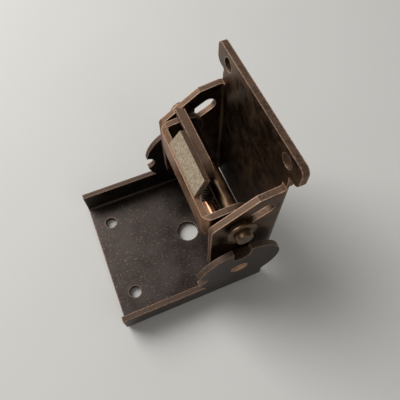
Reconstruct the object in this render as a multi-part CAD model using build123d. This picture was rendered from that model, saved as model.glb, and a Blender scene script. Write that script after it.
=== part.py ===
"""Self-locking folding bracket for a table leg.

Frame: X points out of the table face (the leg stands along -X), Y runs along the hinge pin,
Z points out of the leg's pocket. The origin is midway between the two table screw holes, on the
face that seats against the table. All sizes are in millimetres.
"""
import os
from math import atan2, cos, degrees, radians, sin, tan

from build123d import *

# table bracket
SHEET = 2.0
BRACKET_WIDTH = 42.0
BRACKET_DEPTH = 23.2
BEND_OUTER = 3.2
EAR_HALF_LENGTH = 24.0
EAR_TOP = 4.0
EAR_BOTTOM = -3.6
EAR_CORNER = 2.2
NECK_HALF_WIDTH = 20.2
RELIEF_RADIUS = 0.8
CHEEK_TOP = -8.5
CHEEK_KNEE = (-9.8, -9.3)
CHEEK_FRONT_TOP = -18.5
CHEEK_FRONT_ROUND = 2.0
PLATE_BOTTOM = -56.0
TABLE_HOLE_RADIUS = 2.2
TABLE_HOLE_SPACING = 34.6

# hinge pivot
PIVOT_X = -14.8
PIVOT_Z = -44.2
PIVOT_RADIUS = 2.0
PIVOT_HEAD_RADIUS = 3.1
PIVOT_HEAD_DEPTH = 1.1
PIVOT_BOSS_RADIUS = 8.4

# leg channel
CHANNEL_SHEET = 2.0
EAR_GAP = 2.6
CHANNEL_BACK = -55.9
CHANNEL_FRONT = -5.2
FLOOR_TOP = -61.2
FLANGE_TOP = -52.5
CHANNEL_BEND_OUTER = 3.0
DISC_RADIUS = 14.5
LEG_SCREW_X = -49.4
LEG_SCREW_SPACING = 29.4
LEG_SCREW_RADIUS = 2.1
LEG_BOLT_X = -23.2
LEG_BOLT_RADIUS = 3.9

# lock pin and its slots
LOCK_PIN_RADIUS = 2.5
LOCK_PIN_Z = -20.7
LOCK_TRAVEL = 9.0
LOCK_PIN_CHAMFER = 0.4
PARK_X = -7.0
PARK_Z = -16.3
FOLD_ANGLE = 90.0
OPEN_NOTCH_DEPTH = 6.0
FOLDED_NOTCH_DEPTH = 3.0
NOTCH_SIDE_PLAY = 0.3
WASHER_RADIUS = 4.5
OUTER_WASHER_THICKNESS = 1.1
INNER_WASHER_THICKNESS = 0.7
PIVOT_WASHER_RADIUS = 7.0

# release lever
LEVER_SHEET = 2.0
LEVER_FRONT = -24.1
LEVER_SIDE_PLAY = 1.0
LEVER_BEND_OUTER = 3.0
WEB_TOP = -16.6
WEB_BOTTOM = -26.9
LEVER_EYE_RADIUS = 4.7
ARM_SHOULDER = 2.0
THUMB_HALF_WIDTH = 9.7
THUMB_TOP_HALF_WIDTH = 9.0
THUMB_LENGTH = 7.2
THUMB_ANGLE = 58.0
THUMB_BEND = 3.0

# extension spring
SPRING_RADIUS = 2.3
SPRING_WIRE = 0.45
SPRING_OFFSET = 1.3
SPRING_TURNS = 10
HOOK_PLAY = 0.1

# stop tongue over the lever's arm
STOP_LEFT = -18.0
STOP_RIGHT = -15.2
STOP_REACH = -4.8
STOP_ROOT_BEND = 2.2
STOP_END_BEND = 3.6
STOP_PLAY = 0.3

# fits and tolerances
NEAR = 0.01
THROUGH = 1.0
RUNNING = 0.08
SEATED = 0.02
FACE_PLAY = 0.1

CHEEK_OUTER = BRACKET_WIDTH / 2
CHEEK_INNER = CHEEK_OUTER - SHEET
DISC_INNER = CHEEK_OUTER + EAR_GAP
DISC_OUTER = DISC_INNER + CHANNEL_SHEET
ARM_OUTER = CHEEK_INNER - LEVER_SIDE_PLAY
ARM_INNER = ARM_OUTER - LEVER_SHEET
PIVOT = (PIVOT_X, PIVOT_Z)
LOCK_PIN = (PIVOT_X, LOCK_PIN_Z)
LOCKED = (PIVOT_X, LOCK_PIN_Z - LOCK_TRAVEL)


def slab(face, near, far):
    """Solid of an X-Z outline between two Y positions."""
    return extrude(Plane.XZ.offset(-far) * face, amount=far - near)


def disc(centre, radius, near, far):
    return slab(Pos(*centre) * Circle(radius), near, far)


def ring(centre, inner, outer, near, far):
    return disc(centre, outer, near, far) - disc(centre, inner, near - THROUGH, far + THROUGH)


def mirrored(shape):
    return mirror(shape, about=Plane.XZ)


def outline(*points):
    return make_face(Polyline(*points, close=True))


def slot_outline(start, end, width):
    """Obround outline between two centres."""
    run = Vector(end[0] - start[0], end[1] - start[1])
    middle = ((start[0] + end[0]) / 2, (start[1] + end[1]) / 2)
    turn = degrees(atan2(run.Y, run.X))
    return Pos(*middle) * Rot(0, 0, turn) * SlotCenterToCenter(run.length, width)


def rounded_corner_block(web, back, half_width, bend, bottom, top):
    """Block whose two upright edges at x = web are rounded."""
    middle = Pos((web + back) / 2, 0, (bottom + top) / 2)
    block = middle * Box(abs(web - back), 2 * half_width, top - bottom)
    corners = block.edges().filter_by(Axis.Z).filter_by(lambda edge: abs(edge.center().X - web) < NEAR)
    return fillet(corners, bend)


def bent_channel(web, back, half_width, sheet, bend, bottom, top):
    """Channel folded about two upright bends, with its web at x = web and open at x = back."""
    inwards = sheet if back > web else -sheet
    outer = rounded_corner_block(web, back, half_width, bend, bottom, top)
    hollow = rounded_corner_block(web + inwards, back + inwards, half_width - sheet, bend - sheet,
                                  bottom - THROUGH, top + THROUGH)
    return outer - hollow


def lock_path(width):
    """L-shaped way of the lock pin: the drop into the notch and the slanted park leg."""
    drop = slot_outline(LOCK_PIN, LOCKED, width)
    park = slot_outline(LOCK_PIN, (PARK_X, PARK_Z), width)
    return drop + park


def stop_tongue():
    """Tongue bent over from one cheek, across the lever's arm, and turned down towards the lock pin."""
    top = LOCK_PIN_Z + LEVER_EYE_RADIUS + STOP_PLAY + SHEET
    end = LOCK_PIN_Z + LOCK_PIN_RADIUS + STOP_PLAY
    middle = (STOP_LEFT + STOP_RIGHT) / 2
    width = STOP_RIGHT - STOP_LEFT
    centre = (STOP_REACH + CHEEK_OUTER) / 2
    span = CHEEK_OUTER - STOP_REACH
    outer = Pos(middle, centre, (top + end) / 2) * Box(width, span, top - end)
    inner = Pos(middle, centre, (top + end) / 2 - SHEET) * Box(2 * width, span - 2 * SHEET, top - end)
    upper = outer.edges().filter_by(Axis.X).group_by(Axis.Z)[-1].sort_by(Axis.Y)
    outer = fillet(upper[0], STOP_END_BEND)
    upper = outer.edges().filter_by(Axis.X).group_by(Axis.Z)[-1].sort_by(Axis.Y)
    outer = fillet(upper[-1], STOP_ROOT_BEND)
    upper = inner.edges().filter_by(Axis.X).group_by(Axis.Z)[-1].sort_by(Axis.Y)
    inner = fillet(upper[0], STOP_END_BEND - SHEET)
    return outer - inner


def make_table_bracket():
    front = -BRACKET_DEPTH
    bottom = min(PLATE_BOTTOM, PIVOT_Z - PIVOT_BOSS_RADIUS)
    body = bent_channel(0, front, CHEEK_OUTER, SHEET, BEND_OUTER, bottom, CHEEK_TOP)
    side = outline((front, CHEEK_FRONT_TOP), CHEEK_KNEE, (-SHEET - THROUGH, CHEEK_TOP), (0, CHEEK_TOP),
                   (0, PLATE_BOTTOM), (PIVOT_X, PIVOT_Z - PIVOT_BOSS_RADIUS), (front, PIVOT_Z))
    knee = side.vertices().sort_by_distance((front, CHEEK_FRONT_TOP, 0))[0]
    side = fillet(knee, CHEEK_FRONT_ROUND)
    side = side + Pos(*PIVOT) * Circle(PIVOT_BOSS_RADIUS)
    body = body & slab(side, -CHEEK_OUTER - THROUGH, CHEEK_OUTER + THROUGH)
    body += stop_tongue()
    body -= slab(lock_path(2 * (LOCK_PIN_RADIUS + RUNNING)), -CHEEK_OUTER - THROUGH, CHEEK_OUTER + THROUGH)
    body -= disc(PIVOT, PIVOT_RADIUS + RUNNING, -CHEEK_OUTER - THROUGH, CHEEK_OUTER + THROUGH)
    ears = Pos(-SHEET / 2, 0, (EAR_TOP + EAR_BOTTOM) / 2) * Box(SHEET, 2 * EAR_HALF_LENGTH, EAR_TOP - EAR_BOTTOM)
    ears = fillet(ears.edges().filter_by(Axis.X), EAR_CORNER)
    neck = Pos(-SHEET / 2, 0, (CHEEK_TOP + EAR_TOP) / 2)
    neck = neck * Box(SHEET, 2 * NECK_HALF_WIDTH, EAR_TOP - CHEEK_TOP)
    body = body + ears + neck
    for end in (-1, 1):
        relief = Pos(0, end * (NECK_HALF_WIDTH + RELIEF_RADIUS / 2), EAR_BOTTOM - RELIEF_RADIUS)
        body -= relief * Rot(0, 90, 0) * Cylinder(RELIEF_RADIUS, 4 * SHEET)
    for end in (-1, 1):
        hole = Pos(0, end * TABLE_HOLE_SPACING / 2, 0) * Rot(0, 90, 0) * Cylinder(TABLE_HOLE_RADIUS, 4 * SHEET)
        body -= hole
    return body


def disc_notch(direction, depth):
    """Cutter for a notch in the channel's discs, open at the rim."""
    width = 2 * (LOCK_PIN_RADIUS + NOTCH_SIDE_PLAY)
    inner = DISC_RADIUS - depth + width / 2
    outer = DISC_RADIUS + width
    ends = []
    for reach in (inner, outer):
        ends.append((PIVOT_X + reach * cos(radians(direction)), PIVOT_Z + reach * sin(radians(direction))))
    return slab(slot_outline(ends[0], ends[1], width), -DISC_OUTER - THROUGH, DISC_OUTER + THROUGH)


def make_leg_channel():
    floor = FLOOR_TOP - CHANNEL_SHEET
    top = PIVOT_Z + DISC_RADIUS
    length = CHANNEL_FRONT - CHANNEL_BACK + 2 * DISC_RADIUS
    middle = (CHANNEL_FRONT + CHANNEL_BACK) / 2
    outer = Pos(middle, 0, (floor + top) / 2) * Box(length, 2 * DISC_OUTER, top - floor)
    low = [edge for edge in outer.edges().filter_by(Axis.X) if edge.center().Z < floor + NEAR]
    outer = fillet(low, CHANNEL_BEND_OUTER)
    inner = Pos(middle, 0, (floor + top) / 2 + CHANNEL_SHEET) * Box(length + 2 * THROUGH, 2 * DISC_INNER, top - floor)
    low = [edge for edge in inner.edges().filter_by(Axis.X) if edge.center().Z < FLOOR_TOP + NEAR]
    inner = fillet(low, CHANNEL_BEND_OUTER - CHANNEL_SHEET)
    side = outline((CHANNEL_BACK, floor), (CHANNEL_FRONT, floor), (CHANNEL_FRONT, PIVOT_Z),
                   (PIVOT_X, PIVOT_Z), (PIVOT_X, FLANGE_TOP), (CHANNEL_BACK, FLANGE_TOP))
    side = side + Pos(*PIVOT) * Circle(DISC_RADIUS)
    body = (outer - inner) & slab(side, -DISC_OUTER - THROUGH, DISC_OUTER + THROUGH)
    body -= disc_notch(90, OPEN_NOTCH_DEPTH)
    body -= disc_notch(90 + FOLD_ANGLE, FOLDED_NOTCH_DEPTH)
    body -= disc(PIVOT, PIVOT_RADIUS + SEATED, -DISC_OUTER - THROUGH, DISC_OUTER + THROUGH)
    sink = pivot_head(SEATED)
    body -= sink
    body -= mirrored(sink)
    for end in (-1, 1):
        screw = Pos(LEG_SCREW_X, end * LEG_SCREW_SPACING / 2, FLOOR_TOP)
        body -= screw * Cylinder(LEG_SCREW_RADIUS, 4 * CHANNEL_SHEET)
    body -= Pos(LEG_BOLT_X, 0, FLOOR_TOP) * Cylinder(LEG_BOLT_RADIUS, 4 * CHANNEL_SHEET)
    return body


def pivot_head(clearance):
    """Countersunk head at the far end of the pivot, flush with the disc."""
    middle = DISC_OUTER - PIVOT_HEAD_DEPTH / 2
    cone = Cone(PIVOT_RADIUS + clearance, PIVOT_HEAD_RADIUS + clearance, PIVOT_HEAD_DEPTH)
    return Pos(PIVOT_X, middle, PIVOT_Z) * Rot(-90, 0, 0) * cone


def make_pivot_pin():
    shaft = disc(PIVOT, PIVOT_RADIUS, -DISC_OUTER, DISC_OUTER)
    head = pivot_head(0)
    return shaft + head + mirrored(head)


def make_pivot_washer(end):
    near = CHEEK_OUTER + FACE_PLAY
    washer = ring(PIVOT, PIVOT_RADIUS + SEATED, PIVOT_WASHER_RADIUS, near, DISC_INNER - FACE_PLAY)
    return washer if end > 0 else mirrored(washer)


def make_lock_pin():
    reach = DISC_OUTER - 2 * FACE_PLAY
    pin = disc(LOCK_PIN, LOCK_PIN_RADIUS, -reach, reach)
    return chamfer(pin.edges().filter_by(GeomType.CIRCLE), LOCK_PIN_CHAMFER)


def make_outer_washer(end):
    far = DISC_INNER - 3 * FACE_PLAY
    washer = ring(LOCK_PIN, LOCK_PIN_RADIUS + SEATED, WASHER_RADIUS, far - OUTER_WASHER_THICKNESS, far)
    return washer if end > 0 else mirrored(washer)


def make_inner_washer(end):
    near = ARM_OUTER + FACE_PLAY
    washer = ring(LOCK_PIN, LOCK_PIN_RADIUS + SEATED, WASHER_RADIUS, near, near + INNER_WASHER_THICKNESS)
    return washer if end > 0 else mirrored(washer)


def thumb_plate():
    """Tongue bent inwards from the top of the web, narrowing towards its free edge."""
    lean = cos(radians(THUMB_ANGLE))
    rise = sin(radians(THUMB_ANGLE))
    root = WEB_TOP - THUMB_BEND
    kink = WEB_TOP - LEVER_SHEET * tan(radians(90 - THUMB_ANGLE) / 2)
    tip = (LEVER_FRONT + THUMB_LENGTH * lean, WEB_TOP + THUMB_LENGTH * rise)
    inner_tip = (tip[0] + LEVER_SHEET * rise, tip[1] - LEVER_SHEET * lean)
    side = outline((LEVER_FRONT, root), (LEVER_FRONT, WEB_TOP), tip, inner_tip,
                   (LEVER_FRONT + LEVER_SHEET, kink), (LEVER_FRONT + LEVER_SHEET, root))
    bend = side.vertices().sort_by_distance((LEVER_FRONT, WEB_TOP, 0))[0]
    side = fillet(bend, THUMB_BEND + LEVER_SHEET)
    taper = outline((-THUMB_HALF_WIDTH, root), (-THUMB_HALF_WIDTH, WEB_TOP), (-THUMB_TOP_HALF_WIDTH, tip[1]),
                    (THUMB_TOP_HALF_WIDTH, tip[1]), (THUMB_HALF_WIDTH, WEB_TOP), (THUMB_HALF_WIDTH, root))
    front_view = extrude(Plane.YZ.offset(LEVER_FRONT - THROUGH) * taper, amount=THUMB_LENGTH + 2 * LEVER_SHEET)
    return slab(side, -THUMB_HALF_WIDTH, THUMB_HALF_WIDTH) & front_view


def make_release_lever():
    eye_bottom = LOCK_PIN_Z - LEVER_EYE_RADIUS
    eye_top = LOCK_PIN_Z + LEVER_EYE_RADIUS
    back = LOCK_PIN[0] + LEVER_EYE_RADIUS
    body = bent_channel(LEVER_FRONT, back, ARM_OUTER, LEVER_SHEET, LEVER_BEND_OUTER, WEB_BOTTOM, eye_top)
    side = outline((LEVER_FRONT, WEB_BOTTOM), (LEVER_FRONT, WEB_TOP), (LOCK_PIN[0] - ARM_SHOULDER, eye_top),
                   (LOCK_PIN[0], eye_top), (LOCK_PIN[0], eye_bottom))
    side = side + Pos(*LOCK_PIN) * Circle(LEVER_EYE_RADIUS)
    body = body & slab(side, -ARM_OUTER - THROUGH, ARM_OUTER + THROUGH)
    above_web = Pos(LEVER_FRONT, 0, WEB_TOP + LEVER_EYE_RADIUS / 2)
    body -= above_web * Box(2 * LEVER_BEND_OUTER, 2 * ARM_INNER, LEVER_EYE_RADIUS)
    body += thumb_plate()
    body -= disc(LOCK_PIN, LOCK_PIN_RADIUS + SEATED, -ARM_OUTER - THROUGH, ARM_OUTER + THROUGH)
    return body


def spring_loop(pin, pin_radius):
    """Closed end loop of the spring around a pin."""
    loop = Torus(pin_radius + HOOK_PLAY + SPRING_WIRE, SPRING_WIRE)
    return Pos(pin[0], SPRING_OFFSET, pin[1]) * Rot(90, 0, 0) * loop


def spring_bridge(level):
    """Straight wire from the middle of a loop out to the start of the coils."""
    arm = Pos(PIVOT_X + SPRING_RADIUS / 2, SPRING_OFFSET, level) * Rot(0, 90, 0)
    bridge = arm * Cylinder(SPRING_WIRE, SPRING_RADIUS)
    for reach in (0, SPRING_RADIUS):
        bridge += Pos(PIVOT_X + reach, SPRING_OFFSET, level) * Sphere(SPRING_WIRE)
    return bridge


def make_tension_spring():
    low = PIVOT_Z + PIVOT_RADIUS + HOOK_PLAY + 2 * SPRING_WIRE
    high = LOCK_PIN_Z - LOCK_PIN_RADIUS - HOOK_PLAY - 2 * SPRING_WIRE
    run = high - low
    coil = Pos(PIVOT_X, SPRING_OFFSET, low) * Helix(run / SPRING_TURNS, run, SPRING_RADIUS)
    section = Plane(origin=coil @ 0, z_dir=coil % 0) * Circle(SPRING_WIRE)
    body = sweep(section, path=coil, is_frenet=True)
    body += spring_loop(PIVOT, PIVOT_RADIUS)
    body += spring_loop(LOCK_PIN, LOCK_PIN_RADIUS)
    body += spring_bridge(low)
    body += spring_bridge(high)
    return body


def main():
    parts = {
        "table_bracket": make_table_bracket(),
        "leg_channel": make_leg_channel(),
        "pivot_pin": make_pivot_pin(),
        "pivot_washer_left": make_pivot_washer(-1),
        "pivot_washer_right": make_pivot_washer(1),
        "release_lever": make_release_lever(),
        "lock_pin": make_lock_pin(),
        "lock_washer_outer_left": make_outer_washer(-1),
        "lock_washer_outer_right": make_outer_washer(1),
        "lock_washer_inner_left": make_inner_washer(-1),
        "lock_washer_inner_right": make_inner_washer(1),
        "tension_spring": make_tension_spring(),
    }
    os.makedirs("parts", exist_ok=True)
    for name, shape in parts.items():
        shape.label = name
        export_step(shape, f"parts/{name}.step")
        print(name, len(shape.solids()), round(shape.volume, 1), shape.bounding_box())


if __name__ == "__main__":
    main()
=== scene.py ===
"""Self-locking folding bracket for a table leg, finished in antique bronze.

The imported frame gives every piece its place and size. The sheet parts keep their own meshes and get
rounded edges, and the pins, washers and spring are surfaces worked out with numpy. Metres throughout.
"""

import bpy
import numpy as np
from mathutils import Matrix, Vector


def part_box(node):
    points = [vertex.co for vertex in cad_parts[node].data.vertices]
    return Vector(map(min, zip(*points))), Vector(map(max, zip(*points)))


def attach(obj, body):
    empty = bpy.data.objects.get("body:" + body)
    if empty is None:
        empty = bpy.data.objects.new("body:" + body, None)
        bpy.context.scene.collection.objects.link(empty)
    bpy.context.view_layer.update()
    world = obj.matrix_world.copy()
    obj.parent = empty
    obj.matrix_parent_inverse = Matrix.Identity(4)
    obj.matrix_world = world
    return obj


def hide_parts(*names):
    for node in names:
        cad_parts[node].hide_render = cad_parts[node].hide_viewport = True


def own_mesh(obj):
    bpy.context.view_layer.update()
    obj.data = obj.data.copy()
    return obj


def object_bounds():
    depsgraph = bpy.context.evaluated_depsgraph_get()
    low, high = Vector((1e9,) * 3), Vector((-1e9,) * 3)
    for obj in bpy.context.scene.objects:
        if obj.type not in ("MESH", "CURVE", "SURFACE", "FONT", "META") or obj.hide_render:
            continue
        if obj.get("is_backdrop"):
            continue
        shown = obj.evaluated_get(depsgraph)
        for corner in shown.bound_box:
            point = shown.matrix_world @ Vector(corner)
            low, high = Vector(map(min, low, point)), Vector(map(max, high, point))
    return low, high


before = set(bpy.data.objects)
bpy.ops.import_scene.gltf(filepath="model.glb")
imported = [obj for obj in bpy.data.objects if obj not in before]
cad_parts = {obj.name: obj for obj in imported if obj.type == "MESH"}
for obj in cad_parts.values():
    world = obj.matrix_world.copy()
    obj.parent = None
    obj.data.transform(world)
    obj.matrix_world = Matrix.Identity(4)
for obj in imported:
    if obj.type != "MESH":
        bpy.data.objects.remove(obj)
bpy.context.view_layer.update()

bl_info = {
    "name": "Folding leg bracket",
    "version": (1, 0, 0),
    "blender": (4, 5, 0),
    "location": "View3D > Sidebar > Bracket",
    "description": "Finishes the parts of a self-locking folding leg bracket and sets its studio",
    "category": "Object",
}

MM = 0.001
SIDES = ("left", "right")
PIVOT_RADIUS = 2.0 * MM
LOCK_PIN_RADIUS = 2.5 * MM

# Where each sheet part's walls lie, as (axis, test, limit) for Nodes.sheared.
BRACKET_WALLS = ((1, "beyond", 18.9 * MM), (0, "above", -2.1 * MM))
CHANNEL_WALLS = ((1, "beyond", 23.5 * MM), (2, "below", -61.1 * MM))
LEVER_WALLS = ((1, "beyond", 15.9 * MM), (0, "below", -18.4 * MM))

# The lever's web lies below these x values, and its thumb plate above these z and within these y values.
# These areas take the lever's painted highlight on the web and its paler thumb plate, part handling wear
# and part painted light.
WEB_FADE = (-22.6 * MM, -21.6 * MM)
THUMB_FADE = (-16.9 * MM, -15.0 * MM)
THUMB_SIDE_FADE = (10.2 * MM, 10.6 * MM)

COIL_STEPS = 48
HOOK_STEPS = 120
HOOK_ARC = (-235, 85)
REACH_STEPS = 40
FLOOR_HALF = 1.2


# ---------------------------------------------------------------- surfaces

def grid_faces(rows, columns, close_rows=False, close_columns=False):
    """Quads of a rows by columns grid of vertex numbers, each pair of neighbouring lines joined."""
    numbers = np.arange(rows * columns).reshape(rows, columns)
    if close_rows:
        numbers = np.vstack([numbers, numbers[:1]])
    if close_columns:
        numbers = np.hstack([numbers, numbers[:, :1]])
    corners = (numbers[:-1, :-1], numbers[1:, :-1], numbers[1:, 1:], numbers[:-1, 1:])
    return np.stack([corner.ravel() for corner in corners], axis=1)


def new_piece(name, points, faces, material, smooth_angle=35.0):
    """Mesh object at the origin, with faces turned outwards and smooth except across sharp corners."""
    mesh = bpy.data.meshes.new(name)
    mesh.from_pydata(points.tolist(), [], faces)
    mesh.update()
    piece = bpy.data.objects.new(name, mesh)
    bpy.context.scene.collection.objects.link(piece)
    piece.data.materials.append(material)
    turn_outwards(mesh)
    mesh.shade_smooth()
    mesh.set_sharp_from_angle(angle=np.radians(smooth_angle))
    return piece


def turn_outwards(mesh):
    """Flips a closed mesh whose volume comes out negative.

    The volume is the sum over its faces of a third of the area times the distance from the origin.
    """
    count = len(mesh.polygons)
    centres = np.zeros(count * 3)
    normals = np.zeros(count * 3)
    areas = np.zeros(count)
    mesh.polygons.foreach_get("center", centres)
    mesh.polygons.foreach_get("normal", normals)
    mesh.polygons.foreach_get("area", areas)
    volume = (areas * (centres.reshape(-1, 3) * normals.reshape(-1, 3)).sum(1)).sum() / 3
    if volume < 0:
        mesh.flip_normals()


def revolved(profile, centre, turns=96, closed=False):
    """Points (x + r cos t, y, z + r sin t) about the centre (x, z), for each (r, y) of the profile.

    The angle t runs round a full turn. An open profile starts and ends on the axis, where a fan of
    triangles closes the pole.
    """
    profile = np.asarray(profile, float)
    angle = np.linspace(0, 2 * np.pi, turns, endpoint=False)
    body = profile if closed else profile[1:-1]
    radius = body[:, :1]
    x = centre[0] + radius * np.cos(angle)
    z = centre[1] + radius * np.sin(angle)
    y = np.broadcast_to(body[:, 1:], x.shape)
    points = np.stack([x, y, z], axis=2).reshape(-1, 3)
    faces = grid_faces(len(body), turns, close_rows=closed, close_columns=True).tolist()
    if not closed:
        poles = [[centre[0], profile[0, 1], centre[1]], [centre[0], profile[-1, 1], centre[1]]]
        first = len(points)
        points = np.vstack([points, poles])
        step = np.arange(turns)
        nxt = (step + 1) % turns
        last = (len(body) - 1) * turns
        faces += np.stack([np.full(turns, first), step, nxt], axis=1).tolist()
        faces += np.stack([np.full(turns, first + 1), last + nxt, last + step], axis=1).tolist()
    return points, faces


def rounded_corner(centre, radius, start, stop, steps=5):
    """Points centre + radius (cos a, sin a) as a runs from start to stop, in degrees."""
    angle = np.radians(np.linspace(start, stop, steps))
    across = centre[0] + radius * np.cos(angle)
    along = centre[1] + radius * np.sin(angle)
    return np.stack([across, along], axis=1)


def washer_profile(inner, outer, low, high, edge):
    """Rectangle in (radius, y) with its four corners rounded."""
    corners = (((outer - edge, high - edge), 90, 0), ((outer - edge, low + edge), 0, -90),
               ((inner + edge, low + edge), -90, -180), ((inner + edge, high - edge), 180, 90))
    return np.vstack([rounded_corner(centre, edge, start, stop) for centre, start, stop in corners])


def swept(path, reference, radius, sides=14):
    """Circle of that radius carried along a path of points.

    At each point the circle lies across the tangent T, spanned by N, which is the reference
    direction less its share along T, and by T cross N. Both ends are closed by a shrinking cap.
    """
    tangent = np.gradient(path, axis=0)
    tangent /= np.linalg.norm(tangent, axis=1, keepdims=True)
    normal = reference - (reference * tangent).sum(1, keepdims=True) * tangent
    normal /= np.linalg.norm(normal, axis=1, keepdims=True)
    binormal = np.cross(tangent, normal)
    cap = np.radians(np.array([80.0, 55.0, 30.0]))
    ring_radius = np.concatenate([np.cos(cap), np.ones(len(path)), np.cos(cap[::-1])]) * radius
    shift = np.concatenate([-np.sin(cap), np.zeros(len(path)), np.sin(cap[::-1])]) * radius * 0.6
    row = np.concatenate([np.zeros(3, int), np.arange(len(path)), np.full(3, len(path) - 1)])
    centres = path[row] + tangent[row] * shift[:, None]
    angle = np.linspace(0, 2 * np.pi, sides, endpoint=False)
    across = normal[row][:, None] * np.cos(angle)[:, None]
    across = across + binormal[row][:, None] * np.sin(angle)[:, None]
    points = (centres[:, None] + across * ring_radius[:, None, None]).reshape(-1, 3)
    faces = grid_faces(len(row), sides, close_columns=True).tolist()
    faces.append(list(range(sides))[::-1])
    faces.append(list(range(len(points) - sides, len(points))))
    return points, faces


def eased(values, width):
    """Running average of an array of points, with its ends held."""
    kernel = np.hanning(width + 2)[1:-1]
    kernel /= kernel.sum()
    half = width // 2
    padded = np.vstack([np.repeat(values[:1], half, 0), values, np.repeat(values[-1:], half, 0)])
    columns = [np.convolve(column, kernel, mode="valid") for column in padded.T]
    return np.stack(columns, axis=1)


# ---------------------------------------------------------------- materials

class Nodes:
    """Short names for adding and joining the nodes of one material."""

    def __init__(self, name):
        self.material = bpy.data.materials.new(name)
        self.material.use_nodes = True
        self.tree = self.material.node_tree
        self.shader = self.tree.nodes["Principled BSDF"]
        self.place = self.add("ShaderNodeTexCoord").outputs["Object"]

    def add(self, kind, **settings):
        node = self.tree.nodes.new(kind)
        for key, value in settings.items():
            setattr(node, key, value)
        return node

    def join(self, source, target):
        self.tree.links.new(source, target)

    def fill(self, node, **inputs):
        for key, value in inputs.items():
            socket = node.inputs[key.replace("_", " ")]
            if isinstance(value, bpy.types.NodeSocket):
                self.join(value, socket)
            else:
                socket.default_value = value
        return node

    def noise(self, scale, detail=4.0, roughness=0.55, stretch=None):
        place = self.place
        if stretch:
            mapping = self.add("ShaderNodeMapping")
            self.join(place, mapping.inputs["Vector"])
            mapping.inputs["Scale"].default_value = stretch
            place = mapping.outputs["Vector"]
        node = self.add("ShaderNodeTexNoise")
        self.fill(node, Vector=place, Scale=scale, Detail=detail, Roughness=roughness)
        return node.outputs["Fac"]

    def ramp(self, value, low, high, start=0.0, stop=1.0):
        node = self.add("ShaderNodeMapRange", interpolation_type="SMOOTHSTEP")
        self.join(value, node.inputs["Value"])
        self.fill(node, From_Min=low, From_Max=high, To_Min=start, To_Max=stop)
        return node.outputs["Result"]

    def math(self, operation, first, second):
        node = self.add("ShaderNodeMath", operation=operation)
        for socket, value in zip(node.inputs, (first, second)):
            if isinstance(value, bpy.types.NodeSocket):
                self.join(value, socket)
            else:
                socket.default_value = value
        return node.outputs["Value"]

    def mix(self, share, first, second):
        node = self.add("ShaderNodeMix", data_type="RGBA")
        sockets = (node.inputs[0], node.inputs[6], node.inputs[7])
        for socket, value in zip(sockets, (share, first, second)):
            if isinstance(value, bpy.types.NodeSocket):
                self.join(value, socket)
            elif isinstance(value, float):
                socket.default_value = value
            else:
                socket.default_value = (*value, 1.0)
        return node.outputs[2]

    def edges(self, width):
        """0 on a flat face and rising to a corner: one less the dot of the rounded and true normals."""
        bevel = self.fill(self.add("ShaderNodeBevel", samples=6), Radius=width)
        plain = self.add("ShaderNodeNewGeometry").outputs["Normal"]
        dot = self.add("ShaderNodeVectorMath", operation="DOT_PRODUCT")
        self.join(bevel.outputs["Normal"], dot.inputs[0])
        self.join(plain, dot.inputs[1])
        return self.math("SUBTRACT", 1.0, dot.outputs["Value"])

    def sheared(self, walls):
        """1 on the sheared edges of the sheet and 0 on its flat sides.

        Each wall is (axis, test, limit): where the test holds, the sheet lies across that axis, so a
        point whose normal leans away from the axis is on an edge. The tests are beyond (either way),
        above and below.
        """
        place = self.parts_of(self.place)
        normal = self.parts_of(self.add("ShaderNodeTexCoord").outputs["Normal"])
        flat = None
        for axis, test, limit in walls:
            along = self.math("ABSOLUTE", place[axis], 0.0) if test == "beyond" else place[axis]
            inside = self.math("LESS_THAN" if test == "below" else "GREATER_THAN", along, limit)
            facing = self.math("MULTIPLY", inside, self.math("ABSOLUTE", normal[axis], 0.0))
            flat = facing if flat is None else self.math("MAXIMUM", flat, facing)
        return self.ramp(flat, 0.35, 0.75, 1.0, 0.0)

    def parts_of(self, vector):
        node = self.add("ShaderNodeSeparateXYZ")
        self.join(vector, node.inputs["Vector"])
        return node.outputs

    def bump(self, heights, distance):
        total = None
        for height, weight in heights:
            part = self.math("MULTIPLY", height, weight)
            total = part if total is None else self.math("ADD", total, part)
        node = self.fill(self.add("ShaderNodeBump"), Strength=1.0, Distance=distance, Height=total)
        self.join(node.outputs["Normal"], self.shader.inputs["Normal"])


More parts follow.
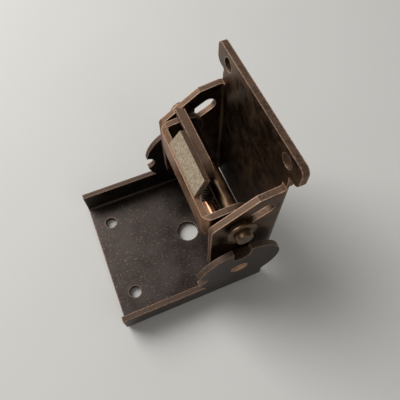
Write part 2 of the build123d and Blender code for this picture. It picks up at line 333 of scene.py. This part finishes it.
def plated(name, dark, mid, worn, rough, walls, wear=1.0, grain=1.0, mottle=280.0, lever_rub_and_painted_light=None):
    """Plated steel: clouded colour, grainy sheared edges, rubbed corners, specks and a fine grain.

    The last argument is (thumb plate colour, web colour) of the release lever. The thumb plate colour is
    part handling wear and part painted light on the face turned to the key light; the web colour is a
    painted highlight standing in for the bright bend of the web.
    """
    nodes = Nodes(name)
    clouds = nodes.noise(mottle, detail=5.0)
    fine = nodes.noise(1500.0, detail=3.0, roughness=0.65)
    specks = nodes.noise(2600.0, detail=2.0, roughness=0.5)
    body = nodes.mix(nodes.ramp(clouds, 0.25, 0.70), dark, mid)
    body = nodes.mix(nodes.ramp(fine, 0.55, 0.75, 0.0, 0.22), body, worn)
    if lever_rub_and_painted_light:
        place = nodes.parts_of(nodes.place)
        thumb, web = lever_rub_and_painted_light
        # Painted highlight: the web below WEB_FADE takes the bright web colour, which stands in for the
        # highlight along the web's bend.
        on_web = nodes.ramp(place[0], *WEB_FADE, 1.0, 0.0)
        painted_web_highlight = nodes.mix(nodes.ramp(clouds, 0.3, 0.7), [0.55 * channel for channel in web], web)
        body = nodes.mix(on_web, body, painted_web_highlight)
        # The thumb plate is painted paler: part handling wear, part painted light on the face turned to the
        # key light.
        height = nodes.ramp(place[2], *THUMB_FADE)
        across = nodes.ramp(nodes.math("ABSOLUTE", place[1], 0.0), *THUMB_SIDE_FADE, 1.0, 0.0)
        rubbed_and_painted_light = nodes.math("MULTIPLY", height, across)
        thumb_rub_and_painted_light = nodes.mix(nodes.ramp(fine, 0.38, 0.62), [0.6 * channel for channel in thumb], thumb)
        body = nodes.mix(rubbed_and_painted_light, body, thumb_rub_and_painted_light)
    cut = nodes.sheared(walls)
    cut = nodes.math("MULTIPLY", cut, nodes.ramp(fine, 0.3, 0.65, 0.25, 0.75))
    body = nodes.mix(nodes.math("MULTIPLY", cut, wear), body, [0.32 * channel for channel in worn])
    edge = nodes.ramp(nodes.edges(0.55 * MM), 0.004, 0.09)
    broken = nodes.math("MULTIPLY", edge, nodes.ramp(fine, 0.32, 0.6, 0.35, 1.0))
    rubbed = nodes.math("MULTIPLY", broken, wear)
    body = nodes.mix(rubbed, body, worn)
    pits = nodes.ramp(specks, 0.68, 0.74)
    body = nodes.mix(nodes.math("MULTIPLY", pits, 0.3 * grain), body, worn)
    nodes.join(body, nodes.shader.inputs["Base Color"])
    rough_cloud = nodes.ramp(clouds, 0.3, 0.7, rough - 0.06, rough + 0.08)
    rough_total = nodes.math("ADD", rough_cloud, nodes.math("MULTIPLY", fine, 0.08))
    rough_total = nodes.math("ADD", rough_total, nodes.math("MULTIPLY", cut, 0.4))
    nodes.join(rough_total, nodes.shader.inputs["Roughness"])
    nodes.shader.inputs["Metallic"].default_value = 1.0
    waves = nodes.noise(420.0, detail=2.0)
    nodes.bump(((fine, 0.6 * grain), (specks, 0.4 * grain), (waves, 0.8)), 0.04 * MM)
    return nodes.material


def turned(name, dark, bright, rough, rings=(1.0, 40.0, 1.0)):
    """Drawn or turned metal: faint rings round the Y axis, tarnish clouds and fine scratches."""
    nodes = Nodes(name)
    tarnish = nodes.noise(260.0, detail=5.0)
    lines = nodes.noise(160.0, detail=3.0, stretch=rings)
    scratches = nodes.noise(1200.0, detail=2.0)
    body = nodes.mix(nodes.ramp(tarnish, 0.35, 0.7), dark, bright)
    body = nodes.mix(nodes.ramp(lines, 0.5, 0.8, 0.0, 0.4), body, bright)
    edge = nodes.ramp(nodes.edges(0.3 * MM), 0.01, 0.12)
    body = nodes.mix(nodes.math("MULTIPLY", edge, 0.6), body, bright)
    nodes.join(body, nodes.shader.inputs["Base Color"])
    rough_cloud = nodes.ramp(tarnish, 0.3, 0.7, rough - 0.05, rough + 0.1)
    nodes.join(rough_cloud, nodes.shader.inputs["Roughness"])
    nodes.shader.inputs["Metallic"].default_value = 1.0
    nodes.bump(((lines, 0.5), (scratches, 0.5)), 0.02 * MM)
    return nodes.material


def plain_floor(name, colour):
    """Matt pale board with a faint tooth."""
    nodes = Nodes(name)
    shade = nodes.noise(30.0, detail=3.0)
    darker = [0.96 * channel for channel in colour]
    nodes.join(nodes.mix(shade, darker, list(colour)), nodes.shader.inputs["Base Color"])
    nodes.shader.inputs["Roughness"].default_value = 0.75
    nodes.bump(((nodes.noise(900.0, detail=2.0), 1.0),), 0.03 * MM)
    return nodes.material


# ---------------------------------------------------------------- settings

def colour_setting(name, description, default):
    return bpy.props.FloatVectorProperty(name=name, description=description, default=default,
                                         subtype="COLOR", min=0.0, max=1.0)


def length_setting(name, description, default):
    return bpy.props.FloatProperty(name=name, description=description, default=default, min=0.0,
                                   max=20 * MM, subtype="DISTANCE", unit="LENGTH", precision=5)


class BracketFinish(bpy.types.PropertyGroup):
    patina: colour_setting("Patina", "Dark antique bronze in the hollows", (0.035, 0.021, 0.013))
    bronze: colour_setting("Bronze", "Antique bronze on the open faces", (0.155, 0.097, 0.059))
    worn: colour_setting("Worn edge", "Rubbed metal along the edges", (0.72, 0.47, 0.34))
    channel_dark: colour_setting("Channel shade", "Darker smooth plating of the leg channel",
                                 (0.034, 0.027, 0.024))
    channel_light: colour_setting("Channel light", "Lighter clouds of the leg channel",
                                  (0.078, 0.064, 0.057))
    # The thumb plate colour is part handling wear and part painted light on the face turned to the key
    # light.
    thumb: colour_setting("Thumb plate", "Pebbled, handled face of the release lever", (0.62, 0.51, 0.37))
    # The lever web colour is a painted highlight standing in for the bright bend of the web.
    web: colour_setting("Lever web", "Polished outside of the release lever", (0.42, 0.23, 0.125))
    copper: colour_setting("Copper", "Bright copper of the pivot", (0.80, 0.45, 0.26))
    copper_dark: colour_setting("Copper tarnish", "Tarnished copper of the pivot", (0.42, 0.21, 0.12))
    brass: colour_setting("Pin", "Olive bronze of the lock pin and washers", (0.20, 0.130, 0.078))
    brass_dark: colour_setting("Pin tarnish", "Dark clouds of the lock pin and washers",
                               (0.085, 0.052, 0.030))
    steel: colour_setting("Spring", "Plated spring wire", (0.16, 0.13, 0.10))
    steel_dark: colour_setting("Spring tarnish", "Dark clouds of the spring wire", (0.045, 0.035, 0.027))


class BracketShape(bpy.types.PropertyGroup):
    edge: length_setting("Sheet edge", "Radius that the sheared sheet edges are worn to", 0.28 * MM)
    wire: length_setting("Spring wire", "Radius of the spring's wire", 0.45 * MM)
    coil: length_setting("Coil radius", "Mean radius of the spring's coils", 2.3 * MM)
    spring_offset: length_setting("Spring offset", "Distance of the spring from the middle plane", 1.3 * MM)
    coil_turns: bpy.props.IntProperty(name="Coils", description="Turns of the spring", default=10,
                                      min=3, max=30)
    hook_play: length_setting("Hook play", "Gap between a hook and its pin", 0.1 * MM)
    pin_edge: length_setting("Pin edge", "Rounding of the pin ends", 0.4 * MM)


class BracketStudio(bpy.types.PropertyGroup):
    floor_colour: colour_setting("Floor", "Pale floor", (0.80, 0.785, 0.75))
    floor_gap: length_setting("Floor gap", "Gap between the floor and the channel", 0.2 * MM)
    key_power: bpy.props.FloatProperty(
        name="Key light", description="Power of the large soft light", default=4.2, min=0.0, unit="POWER")
    fill_power: bpy.props.FloatProperty(
        name="Fill light", description="Power of the weak light from the front", default=0.25, min=0.0,
        unit="POWER")
    sky: bpy.props.FloatProperty(
        name="Room light", description="Strength of the even room light", default=0.20, min=0.0)
    camera_place: bpy.props.FloatVectorProperty(
        name="Camera", description="Where the camera stands", default=(-0.042222, -0.059393, 0.084299),
        subtype="TRANSLATION", unit="LENGTH")
    camera_ahead: bpy.props.FloatVectorProperty(
        name="Looking", description="Direction that the camera looks in",
        default=(0.174257, 0.426193, -0.887690), subtype="XYZ")
    camera_up: bpy.props.FloatVectorProperty(
        name="Up", description="Direction of the top of the picture",
        default=(0.344338, 0.818195, 0.460422), subtype="XYZ")
    lens: bpy.props.FloatProperty(
        name="Lens", description="Focal length on a 36 mm sensor", default=36.82, min=10.0, unit="CAMERA")


# ---------------------------------------------------------------- pieces

def middle(node):
    """Centre of a CAD node's box as (x, z), with its lowest and highest y."""
    low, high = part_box(node)
    return ((low.x + high.x) / 2, (low.z + high.z) / 2), low.y, high.y


def outer_radius(node):
    low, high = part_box(node)
    return (high.x - low.x) / 2


class BRACKET_OT_sheet_parts(bpy.types.Operator):
    """Gives the bracket, the channel and the lever their worn edges and bronze finishes"""

    bl_idname = "bracket.sheet_parts"
    bl_label = "Sheet parts"

    def execute(self, context):
        finish = context.scene.bracket_finish
        edge = context.scene.bracket_shape.edge
        materials = {
            "table_bracket": plated("antique bronze plate", finish.patina, finish.bronze, finish.worn,
                                    0.36, BRACKET_WALLS),
            "leg_channel": plated("dark smooth bronze", finish.channel_dark, finish.channel_light,
                                  finish.worn, 0.42, CHANNEL_WALLS, wear=0.85, grain=0.25, mottle=90.0),
            # The lever's material carries a painted highlight on the web and a paler thumb plate, part
            # handling wear and part painted light.
            "release_lever": plated("handled bronze", finish.patina, finish.bronze, finish.worn, 0.36,
                                    LEVER_WALLS, grain=1.4, mottle=220.0,
                                    lever_rub_and_painted_light=(finish.thumb, finish.web)),
        }
        for name, material in materials.items():
            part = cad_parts[name]
            part.data.materials.clear()
            part.data.materials.append(material)
            weld = part.modifiers.new("weld", "WELD")
            weld.merge_threshold = 1e-6
            flatten = part.modifiers.new("flat faces", "DECIMATE")
            flatten.decimate_type = "DISSOLVE"
            flatten.angle_limit = np.radians(0.5)
            rounding = part.modifiers.new("worn edges", "BEVEL")
            rounding.width = edge
            rounding.segments = 3
            rounding.limit_method = "ANGLE"
            rounding.angle_limit = np.radians(35)
            rounding.harden_normals = True
        return {"FINISHED"}


class BRACKET_OT_pins(bpy.types.Operator):
    """Makes the pivot pin with its flush riveted ends, and the lock pin with its rounded ends"""

    bl_idname = "bracket.pins"
    bl_label = "Pins"

    def execute(self, context):
        finish = context.scene.bracket_finish
        edge = context.scene.bracket_shape.pin_edge
        centre, low, high = middle("lock_pin")
        radius = outer_radius("lock_pin")
        end = np.vstack([[(0, high - 0.3 * edge)], [(radius - 1.6 * edge, high - 0.1 * edge)],
                         rounded_corner((radius - edge, high - edge), edge, 90, 0, 6)])
        profile = np.vstack([end, [(radius, high / 2)], [(radius, low / 2)], (end * (1, -1))[::-1]])
        material = turned("lock pin bronze", finish.brass_dark, finish.brass, 0.34)
        pin = new_piece("lock_pin_turned", *revolved(profile, centre), material)
        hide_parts("lock_pin")
        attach(pin, "lock")

        centre, low, high = middle("pivot_pin")
        head = outer_radius("pivot_pin")
        shank = PIVOT_RADIUS
        dimple = 0.35 * MM
        end = np.array([(0, high - dimple), (0.45 * head, high - 0.6 * dimple),
                        (0.7 * head, high - 0.12 * dimple), (0.88 * head, high),
                        (0.97 * head, high - 0.1 * MM), (head, high - 0.25 * MM),
                        (shank, high - 1.3 * MM)])
        profile = np.vstack([end, [(shank, high / 2)], [(shank, low / 2)], (end * (1, -1))[::-1]])
        material = turned("pivot copper", finish.copper_dark, finish.copper, 0.3)
        pivot = new_piece("pivot_pin_riveted", *revolved(profile, centre), material)
        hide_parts("pivot_pin")
        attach(pivot, "leg_side")
        return {"FINISHED"}


class BRACKET_OT_washers(bpy.types.Operator):
    """Makes the lock pin's four washers and the pivot's two spacers"""

    bl_idname = "bracket.washers"
    bl_label = "Washers"

    def execute(self, context):
        finish = context.scene.bracket_finish
        material = turned("washer bronze", finish.brass_dark, finish.brass, 0.38, rings=(1.0, 1.0, 1.0))
        kinds = (("lock_washer_outer", "lock", LOCK_PIN_RADIUS, 0.35 * MM),
                 ("lock_washer_inner", "lock", LOCK_PIN_RADIUS, 0.2 * MM),
                 ("pivot_washer", "leg_side", PIVOT_RADIUS, 0.4 * MM))
        for kind, body, bore, edge in kinds:
            for side in SIDES:
                node = f"{kind}_{side}"
                centre, low, high = middle(node)
                profile = washer_profile(bore + 0.02 * MM, outer_radius(node), low, high, edge)
                washer = new_piece(f"{node}_rounded", *revolved(profile, centre, closed=True), material)
                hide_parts(node)
                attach(washer, body)
        return {"FINISHED"}


class BRACKET_OT_spring(bpy.types.Operator):
    """Winds the tension spring and its two hooks"""

    bl_idname = "bracket.spring"
    bl_label = "Spring"

    def execute(self, context):
        finish = context.scene.bracket_finish
        shape = context.scene.bracket_shape
        material = turned("spring wire", finish.steel_dark, finish.steel, 0.3, rings=(1.0, 1.0, 1.0))
        offset = shape.spring_offset
        wire = shape.wire
        lock, _, _ = middle("lock_pin")
        pivot, _, _ = middle("pivot_pin")
        low = pivot[1] + PIVOT_RADIUS + shape.hook_play + 2 * wire
        high = lock[1] - LOCK_PIN_RADIUS - shape.hook_play - 2 * wire

        turns = shape.coil_turns
        angle = np.linspace(0, 2 * np.pi * turns, COIL_STEPS * turns)
        coil = np.stack([pivot[0] + shape.coil * np.cos(angle), offset + shape.coil * np.sin(angle),
                         low + (high - low) * angle / angle[-1]], axis=1)
        upright = np.tile((0.0, 0.0, 1.0), (len(coil), 1))
        piece = new_piece("spring_coil", *swept(coil, upright, wire), material)
        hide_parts("tension_spring")
        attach(piece, "table_side")
        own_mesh(piece)

        hooks = (("spring_hook_pivot", pivot, PIVOT_RADIUS, low, 1, "table_side"),
                 ("spring_hook_lock", lock, LOCK_PIN_RADIUS, high, -1, "lock"))
        for name, pin, pin_radius, level, upwards, body in hooks:
            loop = pin_radius + shape.hook_play + wire
            arc = np.radians(np.linspace(*HOOK_ARC, HOOK_STEPS))
            ring = np.stack([pin[0] + loop * np.cos(arc), np.full(HOOK_STEPS, offset),
                             pin[1] + upwards * loop * np.sin(arc)], axis=1)
            start = ring[-1]
            stop = np.array([pin[0] + shape.coil, offset, level])
            share = np.linspace(0, 1, REACH_STEPS)[1:, None]
            reach = start + (stop - start) * share
            path = eased(np.vstack([ring, reach]), 9)
            across = np.tile((0.0, 1.0, 0.0), (len(path), 1))
            piece = new_piece(name, *swept(path, across, wire), material)
            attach(piece, body)
        return {"FINISHED"}


class BRACKET_OT_studio(bpy.types.Operator):
    """Sets the pale floor, the soft lights and the camera"""

    bl_idname = "bracket.studio"
    bl_label = "Studio"

    def execute(self, context):
        scene = context.scene
        studio = scene.bracket_studio
        low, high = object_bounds()
        centre = (low + high) / 2

        level = low.z - studio.floor_gap
        corners = FLOOR_HALF * np.array([(-1, -1), (1, -1), (1, 1), (-1, 1)])
        points = np.column_stack([corners, np.full(4, level)])
        floor = new_piece("floor", points, [(0, 1, 2, 3)], plain_floor("pale board", studio.floor_colour))
        if floor.data.polygons[0].normal.z < 0:
            floor.data.flip_normals()
        floor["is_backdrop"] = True

        soft_light("key", (-0.30, 0.40, 0.48), centre, 0.50, studio.key_power)
        soft_light("fill", (0.15, -0.45, 0.30), centre, 0.30, studio.fill_power)

        world = bpy.data.worlds.new("room")
        world.use_nodes = True
        background = world.node_tree.nodes["Background"]
        background.inputs["Color"].default_value = (1.0, 0.985, 0.96, 1.0)
        background.inputs["Strength"].default_value = studio.sky
        scene.world = world
        scene.view_settings.view_transform = "Standard"

        ahead = Vector(studio.camera_ahead).normalized()
        right = ahead.cross(Vector(studio.camera_up)).normalized()
        up = right.cross(ahead)
        camera = bpy.data.objects.new("camera", bpy.data.cameras.new("camera"))
        camera.data.sensor_width = 36.0
        camera.data.lens = studio.lens
        camera.data.clip_start = 0.005
        camera.data.clip_end = 10.0
        turn = Matrix((right, up, -ahead)).transposed().to_4x4()
        camera.matrix_world = Matrix.Translation(Vector(studio.camera_place)) @ turn
        scene.collection.objects.link(camera)
        scene.camera = camera
        return {"FINISHED"}


def soft_light(name, offset, target, size, power):
    """Square area light at target + offset, turned to face the target."""
    data = bpy.data.lights.new(name, "AREA")
    data.shape = "SQUARE"
    data.size = size
    data.energy = power
    light = bpy.data.objects.new(name, data)
    place = target + Vector(offset)
    turn = (target - place).to_track_quat("-Z", "Y").to_matrix().to_4x4()
    light.matrix_world = Matrix.Translation(place) @ turn
    bpy.context.scene.collection.objects.link(light)
    return light


class BRACKET_PT_parts(bpy.types.Panel):
    """Lists the bracket's pieces and their settings"""

    bl_idname = "BRACKET_PT_parts"
    bl_label = "Folding leg bracket"
    bl_space_type = "VIEW_3D"
    bl_region_type = "UI"
    bl_category = "Bracket"

    def draw(self, context):
        for operator in OPERATORS:
            self.layout.operator(operator.bl_idname)
        for name in GROUPS:
            group = getattr(context.scene, name)
            box = self.layout.box()
            for key in group.__annotations__:
                box.prop(group, key)


OPERATORS = (BRACKET_OT_sheet_parts, BRACKET_OT_pins, BRACKET_OT_washers, BRACKET_OT_spring,
             BRACKET_OT_studio)
GROUPS = {"bracket_finish": BracketFinish, "bracket_shape": BracketShape,
          "bracket_studio": BracketStudio}


def register():
    for name, group in GROUPS.items():
        bpy.utils.register_class(group)
        setattr(bpy.types.Scene, name, bpy.props.PointerProperty(type=group))
    for cls in (*OPERATORS, BRACKET_PT_parts):
        bpy.utils.register_class(cls)


def unregister():
    for cls in (BRACKET_PT_parts, *reversed(OPERATORS)):
        bpy.utils.unregister_class(cls)
    for name, group in GROUPS.items():
        delattr(bpy.types.Scene, name)
        bpy.utils.unregister_class(group)


def main():
    register()
    for operator in OPERATORS:
        module, name = operator.bl_idname.split(".")
        getattr(getattr(bpy.ops, module), name)()


if __name__ == "__main__":
    main()
